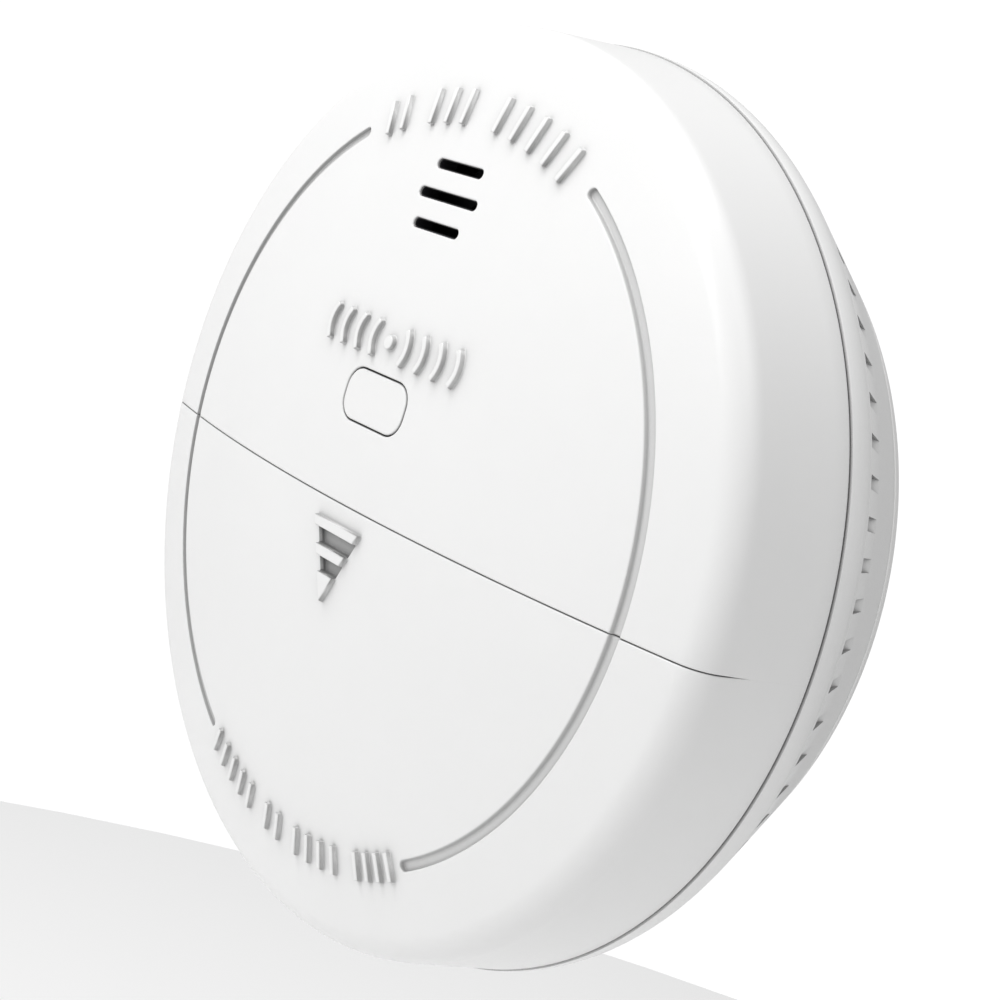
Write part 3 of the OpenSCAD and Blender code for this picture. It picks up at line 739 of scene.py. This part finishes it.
def vent(shape, angle, outside, inside, top):
    """A notch in the cone with a slit through the wall at its top. outside and inside are the
    corners left open in the two skins: low pair, then high pair, each from the lower angle."""
    def at(r, a, h):
        a = math.radians(a)
        return r * math.cos(a), r * math.sin(a), h

    low0, low1, high1, high0 = outside
    low_r, top_r = cone(VENT_LOW), cone(top) - VENT_DEPTH
    end0, end1 = shape.points([at(top_r, angle - VENT_HALF, top),
                               at(top_r, angle + VENT_HALF, top)])
    corners = ((-1, top - 1.0), (1, top - 1.0), (1, top - 0.1), (-1, top - 0.1))
    loops = []
    for first, last in ((low_r, top_r), (VENT_WALL_R, VENT_WALL_R)):
        loops.append(shape.points([
            at(first + (last - first) * (h - VENT_LOW) / (top - VENT_LOW),
               angle + k * SLIT_HALF, h) for k, h in corners]))
    shape.face([low0, high0, end0])
    shape.face([low1, high1, end1])
    shape.face([high0, high1, end1, end0])
    bands = (([low0, low1, end1, end0], loops[0]), (loops[0], loops[1]), (loops[1], inside))
    for a, b in bands:
        for k in range(4):
            shape.face([a[k], a[(k + 1) % 4], b[(k + 1) % 4], b[k]])


def hook_slot(angle):
    """Keyhole for a hook: wide where the catch enters, narrow where it locks."""
    corners = [(36.1, angle + 7.5), (36.1, angle - 22.5), (40.8, angle - 22.5),
               (40.8, angle - 7.5), (38.7, angle - 7.5), (38.7, angle + 7.5)]
    path = []
    for (r0, a0), (r1, a1) in zip(corners, corners[1:] + corners[:1]):
        steps = max(1, int(abs(a1 - a0) / 2.5))
        path += [(r0 + (r1 - r0) * k / steps, a0 + (a1 - a0) * k / steps) for k in range(steps)]
    return [(r * math.cos(math.radians(b)), r * math.sin(math.radians(b)))
            for r, b in path][::-1]


def screw_bosses(shape, floor):
    """Adds the four screw bosses and returns the outlines of their openings."""
    openings = []
    for a, seat in ((45, 17), (135, 17), (-40, 12), (220, 12)):
        x, z = SCREW_RING * math.cos(math.radians(a)), SCREW_RING * math.sin(math.radians(a))
        openings.append([(x + 3 * math.cos(b), z + 3 * math.sin(b))
                         for b in np.linspace(0, 2 * math.pi, 32, endpoint=False)])
        boss = RIM_H if seat == 17 else 17.6
        shape.ring([(3.0, floor + 0.4), (4.2, floor + 0.4), (4.2, boss), (1.5, boss),
                    (1.5, seat), (3.0, seat)], 32, x, z)
    return openings


def rear_profile(floor, top):
    """The housing's wall as (r, h), and the rows above which the vents are open."""
    band_r = HOUSING[3]
    rows = [(cone(floor) - 0.4, floor), (cone(floor) - 0.06, floor + 0.05),
            (cone(floor + 0.25), floor + 0.25)]
    rows += [(cone(h), h) for h in (4.0, 6.0, 8.0, 10.0, 11.5, VENT_LOW)]
    notch_row = len(rows) - 1
    rows += [(cone(top), top), (cone(top), top + 0.12), (cone(CONE_TOP), CONE_TOP + 0.62),
             (cone(CONE_TOP) + 0.1, CONE_TOP + 0.7)]
    rows += arc_points(band_r - BAND_ARC, BAND_H, BAND_ARC, -23.45, 0, 10)
    rows += [(band_r, RIM_H - 0.25), (band_r - 0.05, RIM_H - 0.05), (band_r - 0.2, RIM_H),
             (LIP_R, RIM_H), (LIP_R, LIP_H - 0.2), (LIP_R - 0.2, LIP_H), (LIP_IN + 0.2, LIP_H),
             (LIP_IN, LIP_H - 0.2), (LIP_IN, 20.0), (57.4, 18.4)]
    slit_row = len(rows)
    rows += [(VENT_WALL_R, CONE_TOP + 0.8), (VENT_WALL_R, 13.2),
             (cone(floor + 2) - 2.3, floor + 2)]
    return rows, notch_row, slit_row


def back_housing(material):
    """Rear shell: rounded band, then the cone with its ring of vents down to the wall."""
    s = Shape()
    floor = HOUSING[2]
    top = CONE_TOP - 0.05
    profile, notch_row, slit_row = rear_profile(floor, top)
    angles = vent_angles()
    per_vent = len(angles) // VENTS
    skip = {(i, per_vent * v) for i in (notch_row, slit_row) for v in range(VENTS)}
    vs = s.grid(revolved(profile, angles), closed_cols=True, skip=skip)
    for v in range(VENTS):
        j = per_vent * v
        outside = [vs[notch_row][j], vs[notch_row][j + 1], vs[notch_row + 1][j + 1],
                   vs[notch_row + 1][j]]
        inside = [vs[slit_row + 1][j], vs[slit_row + 1][j + 1], vs[slit_row][j + 1],
                  vs[slit_row][j]]
        vent(s, VENT_PHASE + v * 360 / VENTS, outside, inside, top)
    holes = [hook_slot(a) for a in HOOK_ANGLES] + screw_bosses(s, floor)
    for r, h in (profile[0], profile[-1]):
        s.plate(r, h, angles, holes)
    s.hole_walls(holes, floor, floor + 2.0)
    s.close()
    return s.build("back_housing_shell", "detector", ["back_housing"], material)


def mounting_base(material):
    """Thin wall plate with two screw slots and three twist-lock hooks."""
    s = Shape()
    t = PLATE
    slots = [slot_outline(x, 0, 5.6, 4.4) for x in (-30, 30)]
    profile = [(48.8, 0.0), (cone(0) - 0.06, 0.02), (cone(0.15), 0.15), (cone(t - 0.25), t - 0.25),
               (cone(t - 0.1) - 0.12, t - 0.06), (cone(t) - 0.4, t), (49.0, t)]
    angles = np.linspace(0, 2 * math.pi, 240, endpoint=False)
    s.grid(revolved(profile, angles), closed_cols=True)
    for r, h in (profile[0], profile[-1]):
        s.plate(r, h, angles, slots)
    s.hole_walls(slots, 0.0, t)
    s.close()
    for a in HOOK_ANGLES:
        s.arc_block(NECK_IN, NECK_OUT, t - 1, BASE[5], a - 6, a + 6)
        s.arc_block(CATCH_IN, CATCH_OUT, CATCH_LOW, BASE[5], a - 6, a + 6)
    return s.build("mounting_base_plate", "base", ["mounting_base"], material)


# ---------------------------------------------------------------- batteries

def battery(node, body, side, material):
    """An AA cell: printed sleeve shrunk over the can's ends, bare shoulder and plus button."""
    x0, z0, h0, x1, z1, h1 = size_of(node)
    r = (z1 - z0) / 2
    length = x1 - x0
    profile = [(0.0, 0.0), (3.6, 0.0), (3.8, 0.15), (5.2, 0.15), (5.4, 0.0), (6.5, 0.0),
               (6.95, 0.18), (r, 0.7), (r, 12.0), (r, 24.0), (r, 36.0), (r, length - 2.5),
               (r - 0.25, length - 2.0), (6.3, length - 1.75), (6.1, length - 1.85),
               (5.2, length - 1.8), (3.2, length - 1.45), (2.85, length - 1.2),
               (2.75, length - 0.25), (2.5, length - 0.03), (0.0, length)]
    cz, ch = (z0 + z1) / 2, (h0 + h1) / 2
    s = Shape()
    rows = []
    for q, d in profile:
        x = x0 + d if side > 0 else x1 - d
        rows.append([(x, cz + max(q, 1e-3) * math.cos(a), ch + max(q, 1e-3) * math.sin(a))
                     for a in np.linspace(0, 2 * math.pi, 64, endpoint=False)])
    vs = s.grid(rows, closed_cols=True)
    s.face(vs[0])
    s.face(vs[-1])
    return s.build(node + "_cell", body, [node], material, angle=40)


# ---------------------------------------------------------------- materials

def new_material(name, slot):
    m = bpy.data.materials.new(name)
    m.use_nodes = True
    nodes = m.node_tree.nodes
    bsdf = next(n for n in nodes if n.type == "BSDF_PRINCIPLED")
    m["slot"] = slot
    return m, nodes, m.node_tree.links, bsdf


def noise(nodes, links, scale, detail=4.0, rough=0.5):
    where = nodes.new("ShaderNodeTexCoord")
    n = nodes.new("ShaderNodeTexNoise")
    n.inputs["Scale"].default_value = scale
    n.inputs["Detail"].default_value = detail
    n.inputs["Roughness"].default_value = rough
    links.new(where.outputs["Object"], n.inputs["Vector"])
    return n


def ramp(nodes, links, source, stops):
    r = nodes.new("ShaderNodeValToRGB")
    r.color_ramp.elements[0].position, r.color_ramp.elements[0].color = stops[0]
    r.color_ramp.elements[1].position, r.color_ramp.elements[1].color = stops[-1]
    for pos, colour in stops[1:-1]:
        r.color_ramp.elements.new(pos).color = colour
    links.new(source, r.inputs["Fac"])
    return r


def grey(v):
    return (v, v, v, 1)


def shade(colour, k):
    return tuple(min(1.0, c * k) for c in colour) + (1,)


def textured(name, colour, rough, metal=0.0, grain=2600, bump=0.02, vary=0.03, coat=0.0,
             cloud=60, spread_rough=0.06):
    """Moulded, painted or rolled surface: cloudy colour, uneven gloss and a fine grain."""
    m, nodes, links, bsdf = new_material(name, name)
    big = noise(nodes, links, cloud, 3.0)
    tint = ramp(nodes, links, big.outputs["Fac"],
                [(0.3, shade(colour, 1 - vary)), (0.7, shade(colour, 1 + vary))])
    links.new(tint.outputs["Color"], bsdf.inputs["Base Color"])
    fine = noise(nodes, links, grain, 2.0, 0.6)
    gloss = ramp(nodes, links, fine.outputs["Fac"],
                 [(0.3, grey(max(rough - spread_rough, 0.02))), (0.7, grey(rough + spread_rough))])
    links.new(gloss.outputs["Color"], bsdf.inputs["Roughness"])
    bsdf.inputs["Metallic"].default_value = metal
    bsdf.inputs["Coat Weight"].default_value = coat
    b = nodes.new("ShaderNodeBump")
    b.inputs["Strength"].default_value = bump
    b.inputs["Distance"].default_value = 0.0002
    links.new(fine.outputs["Fac"], b.inputs["Height"])
    links.new(b.outputs["Normal"], bsdf.inputs["Normal"])
    return m


def shell(name, colour, rough, grain, bump):
    """Satin moulded plastic with painted shade: its colour is made a little greyer in grooves and
    beside raised marks, darkened by ambient occlusion.
    """
    m = textured(name, colour, rough, grain=grain, bump=bump, vary=0.006)
    nodes, links = m.node_tree.nodes, m.node_tree.links
    bsdf = next(n for n in nodes if n.type == "BSDF_PRINCIPLED")
    tint = bsdf.inputs["Base Color"].links[0].from_socket
    # painted shade: ambient occlusion within 5 mm darkens the base colour in recesses and beside
    # raised marks
    near = nodes.new("ShaderNodeAmbientOcclusion")
    near.samples = 8
    near.inputs["Distance"].default_value = 0.005
    painted_shade = ramp(nodes, links, near.outputs["AO"], [(0.3, grey(0.22)), (0.98, grey(1.0))])
    mix = nodes.new("ShaderNodeMix")
    mix.data_type = "RGBA"
    mix.blend_type = "MULTIPLY"
    mix.inputs[0].default_value = 1.0
    links.new(tint, mix.inputs[6])
    links.new(painted_shade.outputs["Color"], mix.inputs[7])
    links.new(mix.outputs[2], bsdf.inputs["Base Color"])
    return m


def brushed(name, colour, rough=0.3):
    """Rolled or drawn metal with fine lines along x."""
    m, nodes, links, bsdf = new_material(name, name)
    where = nodes.new("ShaderNodeTexCoord")
    stretch = nodes.new("ShaderNodeMapping")
    stretch.inputs["Scale"].default_value = (120, 2600, 2600)
    lines = nodes.new("ShaderNodeTexNoise")
    lines.inputs["Scale"].default_value = 1.0
    lines.inputs["Detail"].default_value = 3.0
    links.new(where.outputs["Object"], stretch.inputs["Vector"])
    links.new(stretch.outputs["Vector"], lines.inputs["Vector"])
    tint = ramp(nodes, links, lines.outputs["Fac"],
                [(0.25, shade(colour, 0.94)), (0.75, shade(colour, 1.04))])
    gloss = ramp(nodes, links, lines.outputs["Fac"],
                 [(0.25, grey(rough - 0.03)), (0.75, grey(rough + 0.05))])
    links.new(tint.outputs["Color"], bsdf.inputs["Base Color"])
    links.new(gloss.outputs["Color"], bsdf.inputs["Roughness"])
    bsdf.inputs["Metallic"].default_value = 1.0
    b = nodes.new("ShaderNodeBump")
    b.inputs["Strength"].default_value = 0.02
    b.inputs["Distance"].default_value = 0.00005
    links.new(lines.outputs["Fac"], b.inputs["Height"])
    links.new(b.outputs["Normal"], bsdf.inputs["Normal"])
    return m


def cell_material(name, side):
    """Battery finish by place along the cell: bare steel ends, dark sleeve, bright band.
    side is 1 where the plus end points to +X and -1 where it points to -X."""
    m, nodes, links, bsdf = new_material(name, "cell")
    where = nodes.new("ShaderNodeTexCoord")
    split = nodes.new("ShaderNodeSeparateXYZ")
    along = nodes.new("ShaderNodeMapRange")
    along.inputs["To Min"].default_value = 0 if side > 0 else 1
    along.inputs["To Max"].default_value = 1 if side > 0 else 0
    links.new(where.outputs["Generated"], split.inputs["Vector"])
    links.new(split.outputs["X"], along.inputs["Value"])
    steel, dark, copper, pale = ((0.62, 0.63, 0.65, 1), (0.03, 0.035, 0.045, 1),
                                 (0.55, 0.28, 0.1, 1), (0.75, 0.76, 0.78, 1))
    bands = ramp(nodes, links, along.outputs["Result"], [
        (0.0, steel), (0.035, dark), (0.68, pale), (0.695, copper), (0.955, steel)])
    bands.color_ramp.interpolation = "CONSTANT"
    links.new(bands.outputs["Color"], bsdf.inputs["Base Color"])
    metal = ramp(nodes, links, along.outputs["Result"], [
        (0.0, grey(1)), (0.035, grey(0.35)), (0.955, grey(1))])
    metal.color_ramp.interpolation = "CONSTANT"
    links.new(metal.outputs["Color"], bsdf.inputs["Metallic"])
    wear = noise(nodes, links, 900, 3.0)
    gloss = ramp(nodes, links, wear.outputs["Fac"], [(0.3, grey(0.2)), (0.7, grey(0.34))])
    links.new(gloss.outputs["Color"], bsdf.inputs["Roughness"])
    return m


def make_materials():
    return {
        # shell_white and button_white carry painted shade: their colour darkens in recesses by
        # ambient occlusion
        "shell_white": shell("shell_white", (0.8, 0.8, 0.798), 0.36, 2200, 0.03),
        "base_white": textured("base_white", (0.84, 0.84, 0.835), 0.5, grain=1600, bump=0.06,
                               vary=0.01),
        "button_white": shell("button_white", (0.8, 0.8, 0.797), 0.34, 2200, 0.03),
        "tray_white": textured("tray_white", (0.72, 0.72, 0.7), 0.5, grain=1400, bump=0.08,
                               vary=0.02),
        "black_plastic": textured("black_plastic", (0.022, 0.022, 0.025), 0.45, grain=1800,
                                  bump=0.08, vary=0.1),
        "board_green": textured("board_green", (0.02, 0.13, 0.06), 0.32, grain=900, bump=0.03,
                                vary=0.12, coat=0.3, cloud=220),
        "tin": brushed("tin", (0.7, 0.71, 0.72), 0.35),
        "screw_steel": brushed("screw_steel", (0.56, 0.57, 0.58), 0.33),
        "spring_steel": brushed("spring_steel", (0.68, 0.67, 0.64), 0.26),
        "sensor_metal": brushed("sensor_metal", (0.7, 0.71, 0.73), 0.3),
        "gold_pin": brushed("gold_pin", (0.8, 0.6, 0.25), 0.25),
        "brass_disc": brushed("brass_disc", (0.75, 0.55, 0.22), 0.32),
        "ceramic_white": textured("ceramic_white", (0.7, 0.68, 0.6), 0.55, grain=1200,
                                  bump=0.1, vary=0.03),
        "cell": cell_material("cell", 1),
        "cell_turned": cell_material("cell_turned", -1),
        "lead_red": textured("lead_red", (0.5, 0.02, 0.015), 0.42, grain=800, bump=0.05,
                             vary=0.06),
        "lead_black": textured("lead_black", (0.015, 0.015, 0.016), 0.42, grain=800, bump=0.05,
                               vary=0.1),
        "plug_white": textured("plug_white", (0.75, 0.73, 0.65), 0.4, grain=1400, bump=0.04,
                               vary=0.02),
        "led_lens": textured("led_lens", (0.35, 0.62, 0.38), 0.12, grain=700, bump=0.01,
                             vary=0.05, coat=0.5),
        "capacitor_sleeve": textured("capacitor_sleeve", (0.03, 0.04, 0.11), 0.28, grain=900,
                                     bump=0.03, vary=0.08),
        "ferrite": textured("ferrite", (0.07, 0.065, 0.065), 0.6, grain=1500, bump=0.2,
                            vary=0.15),
        "chip_ceramic": textured("chip_ceramic", (0.42, 0.35, 0.25), 0.45, grain=1500,
                                 bump=0.1, vary=0.08),
    }


# CAD nodes with softened edges, and the width in millimetres
SOFT_EDGES = {"wire_plug": 0.2, "mcu_body": 0.15, "circuit_board": 0.1, "chip_parts": 0.08,
              "battery_plates": 0.06}


def soften(obj, width):
    """Joins the skin, which a bevel needs, and rounds its edges."""
    weld = obj.modifiers.new("one_skin", "WELD")
    weld.merge_threshold = 3 * WELD
    bevel = obj.modifiers.new("soft_edges", "BEVEL")
    bevel.width = width * MM
    bevel.segments = 2
    bevel.limit_method = "ANGLE"
    bevel.angle_limit = math.radians(40)


def dress_cad_nodes(materials):
    """The CAD nodes that stay get their finish, and some of them softened edges."""
    slots = {p["node"]: p["material_slot"] for p in frame["record"]["subparts"]}
    for name, obj in frame["nodes"].items():
        obj.data.materials.clear()
        obj.data.materials.append(materials[slots[name]])
        if name in SOFT_EDGES:
            soften(obj, SOFT_EDGES[name])


# ---------------------------------------------------------------- studio

def sky_light():
    """A white sky that dims to the rear."""
    world = bpy.data.worlds.new("studio")
    bpy.context.scene.world = world
    world.use_nodes = True
    nodes, links = world.node_tree.nodes, world.node_tree.links
    nodes.clear()
    out = nodes.new("ShaderNodeOutputWorld")
    seen = nodes.new("ShaderNodeBackground")
    seen.inputs["Color"].default_value = (1, 1, 1, 1)
    seen.inputs["Strength"].default_value = 1.05
    sky = nodes.new("ShaderNodeBackground")
    where = nodes.new("ShaderNodeTexCoord")
    split = nodes.new("ShaderNodeSeparateXYZ")
    links.new(where.outputs["Generated"], split.inputs["Vector"])
    side = nodes.new("ShaderNodeMapRange")
    side.inputs["From Min"].default_value = -0.2
    side.inputs["To Min"].default_value = 0.82
    side.inputs["To Max"].default_value = 0.42
    links.new(split.outputs["Y"], side.inputs["Value"])
    links.new(side.outputs["Result"], sky.inputs["Strength"])
    path = nodes.new("ShaderNodeLightPath")
    mix = nodes.new("ShaderNodeMixShader")
    links.new(path.outputs["Is Camera Ray"], mix.inputs["Fac"])
    links.new(sky.outputs["Background"], mix.inputs[1])
    links.new(seen.outputs["Background"], mix.inputs[2])
    links.new(mix.outputs["Shader"], out.inputs["Surface"])


def pale_floor():
    mesh = bpy.data.meshes.new("floor")
    bm = bmesh.new()
    bmesh.ops.create_circle(bm, cap_ends=True, radius=0.95, segments=96)
    bm.to_mesh(mesh)
    bm.free()
    floor = bpy.data.objects.new("floor", mesh)
    floor.location = (0, 0, -0.4)
    bpy.context.collection.objects.link(floor)
    m, _, _, bsdf = new_material("floor_white", "floor")
    bsdf.inputs["Base Color"].default_value = (0.9, 0.9, 0.9, 1)
    bsdf.inputs["Roughness"].default_value = 0.8
    bsdf.inputs["Emission Color"].default_value = (1, 1, 1, 1)
    bsdf.inputs["Emission Strength"].default_value = 0.08
    mesh.materials.append(m)


def lamps():
    """Soft lamps in front and above, as (name, azimuth, elevation, power)."""
    for name, azimuth, elevation, power in (("key", -15, 30, 3.9), ("upper_left", -40, 60, 5.4),
                                            ("top", 0, 88, 3.2), ("upper_right", 75, 50, 1.4)):
        a, e = math.radians(azimuth), math.radians(elevation)
        light = bpy.data.lights.new(name, "AREA")
        light.energy = power
        light.size = 0.5
        lamp = bpy.data.objects.new(name, light)
        way = Vector((math.sin(a) * math.cos(e), -math.cos(a) * math.cos(e), math.sin(e)))
        lamp.location = way * 1.2
        lamp.rotation_mode = "QUATERNION"
        lamp.rotation_quaternion = (-way).to_track_quat("-Z", "Y")
        bpy.context.collection.objects.link(lamp)


def camera():
    """Three-quarter view from the right, turned about its axis as the photograph is."""
    az, el, roll = (math.radians(v) for v in (50.284, 8.581, 15.663))
    distance, across = 0.26874, 0.000485
    back = Vector((math.sin(az) * math.cos(el), -math.cos(az) * math.cos(el), math.sin(el)))
    right = Vector((math.cos(az), math.sin(az), 0))
    up = back.cross(right)
    r2 = right * math.cos(roll) + up * math.sin(roll)
    u2 = up * math.cos(roll) - right * math.sin(roll)
    data = bpy.data.cameras.new("camera")
    data.sensor_width = 36
    data.lens = 74.057
    cam = bpy.data.objects.new("camera", data)
    aim = Vector((0, -0.0213, 0))
    place = aim + right * across + back * distance
    turn = Matrix((r2, u2, back)).transposed().to_4x4()
    cam.matrix_world = Matrix.Translation(place) @ turn
    data.clip_start, data.clip_end = 0.01, 20
    bpy.context.collection.objects.link(cam)
    bpy.context.scene.camera = cam


bpy.context.scene.view_settings.view_transform = "Standard"
camera()
sky_light()
pale_floor()
lamps()
mats = make_materials()
dress_cad_nodes(mats)
front_cover(mats["shell_white"])
battery_door(mats["shell_white"])
# painted shade: black sleeves darken the walls of the sound slots
slot_painted_shade(mats["black_plastic"])
test_button(mats["button_white"])
back_housing(mats["shell_white"])
mounting_base(mats["base_white"])
battery("battery_upper", "detector", 1, mats["cell"])
battery("battery_lower", "detector", -1, mats["cell_turned"])
